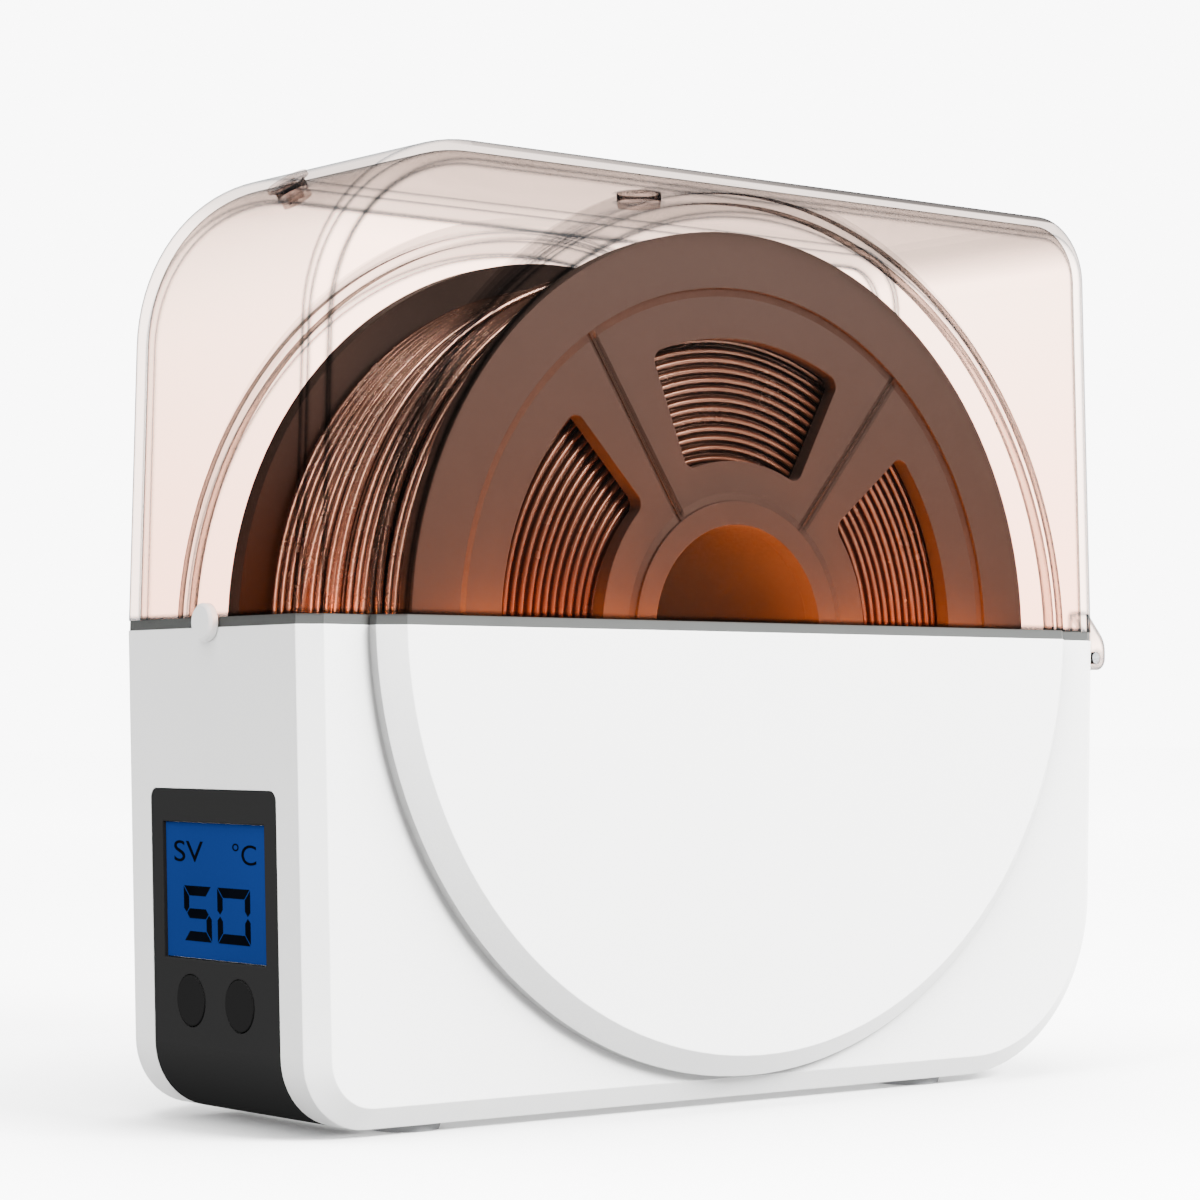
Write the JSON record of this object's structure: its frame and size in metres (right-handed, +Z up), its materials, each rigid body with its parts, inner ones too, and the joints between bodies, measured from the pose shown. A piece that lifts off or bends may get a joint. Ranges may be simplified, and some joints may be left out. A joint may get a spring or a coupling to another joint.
{
  "type": "filament dryer box",
  "caption": "Box that dries and feeds printer filament: clear hinged lid over a white heated base, a wound spool on rollers inside, display and push buttons on one end.",
  "frame": {"origin": "under the middle of the whole object, on the surface the feet stand on", "axes": "+X along the length from the display end to the hinge end, +Y across the depth, +Z up"},
  "size_m": [0.2696, 0.0958, 0.232],
  "materials": {
    "white_plastic": "fine satin moulding",
    "clear_plastic": "clear moulded plastic",
    "grey_seal": "soft moulded strip",
    "steel": "drawn bright steel",
    "dark_fascia": "polished dark plastic",
    "blue_display": "clear window over a blue display",
    "lcd_frame": "folded sheet frame",
    "button_plastic": "satin moulding",
    "soft_rubber": "soft moulded rubber",
    "spool_plastic": "moulded, smoky brown",
    "filament": "drawn filament, silky",
    "cradle_plastic": "satin moulding",
    "roller_plastic": "turned plastic",
    "tyre_rubber": "soft rubber band",
    "bush_brass": "turned brass",
    "plate_aluminium": "rolled sheet",
    "heater_film": "amber polyimide film",
    "sensor_steel": "drawn tube",
    "circuit_board": "solder resist",
    "black_plastic": "moulded"
  },
  "bodies": {
    "base": {"base_shell": "white_plastic", "rubber_feet": "soft_rubber", "hinge_pin": "steel", "spool_cradle": "cradle_plastic", "cradle_screws": "steel", "axle_bushes": "bush_brass", "heating_plate": "plate_aluminium", "heater_film": "heater_film", "temp_sensor": "sensor_steel", "control_panel": "dark_fascia", "display_lens": "blue_display", "lcd_module": "lcd_frame", "control_board": "circuit_board", "board_screws": "steel", "tact_switches": "black_plastic", "dc_jack": "black_plastic"},
    "lid": {"lid_shell": "clear_plastic", "lid_seal": "grey_seal", "latch_tab": "white_plastic", "outlet_grommet": "soft_rubber"},
    "plug": {"outlet_plug": "soft_rubber"},
    "spool": {"spool_front_flange": "spool_plastic", "spool_rear_flange": "spool_plastic", "spool_hub": "spool_plastic", "filament_core": "filament", "filament_winding": "filament"},
    "roller_left": {"roller_axle_left": "steel", "roller_wheels_left": "roller_plastic", "roller_tyres_left": "tyre_rubber"},
    "roller_right": {"roller_axle_right": "steel", "roller_wheels_right": "roller_plastic", "roller_tyres_right": "tyre_rubber"},
    "button_left": {"button_left": "button_plastic"},
    "button_right": {"button_right": "button_plastic"}
  },
  "joints": [
    {"name": "lid_hinge", "type": "hinge", "parent": "base", "child": "lid", "pos_m": [0.1315, 0, 0.1125], "axis": [0, 1, 0], "range_deg": [0, 95]},
    {"name": "plug_pull", "type": "slide", "parent": "lid", "child": "plug", "axis": [0, 0, 1], "range_m": [0, 0.012]},
    {"name": "spool_spin", "type": "hinge", "parent": "base", "child": "spool", "pos_m": [-0.0024, 0, 0.117], "axis": [0, 1, 0], "continuous": true},
    {"name": "roller_left_spin", "type": "hinge", "parent": "base", "child": "roller_left", "pos_m": [-0.06908, 0, 0.03166], "axis": [0, 1, 0], "continuous": true},
    {"name": "roller_right_spin", "type": "hinge", "parent": "base", "child": "roller_right", "pos_m": [0.06428, 0, 0.03166], "axis": [0, 1, 0], "continuous": true},
    {"name": "button_left_press", "type": "slide", "parent": "base", "child": "button_left", "axis": [0.9997, 0, 0.0261], "range_m": [0, 0.001], "stiffness_N_per_m": 800},
    {"name": "button_right_press", "type": "slide", "parent": "base", "child": "button_right", "axis": [0.9997, 0, 0.0261], "range_m": [0, 0.001], "stiffness_N_per_m": 800}
  ],
  "couplings": [
    {"joint": "roller_left_spin", "follows": "spool_spin", "ratio": -12.5},
    {"joint": "roller_right_spin", "follows": "spool_spin", "ratio": -12.5}
  ]
}
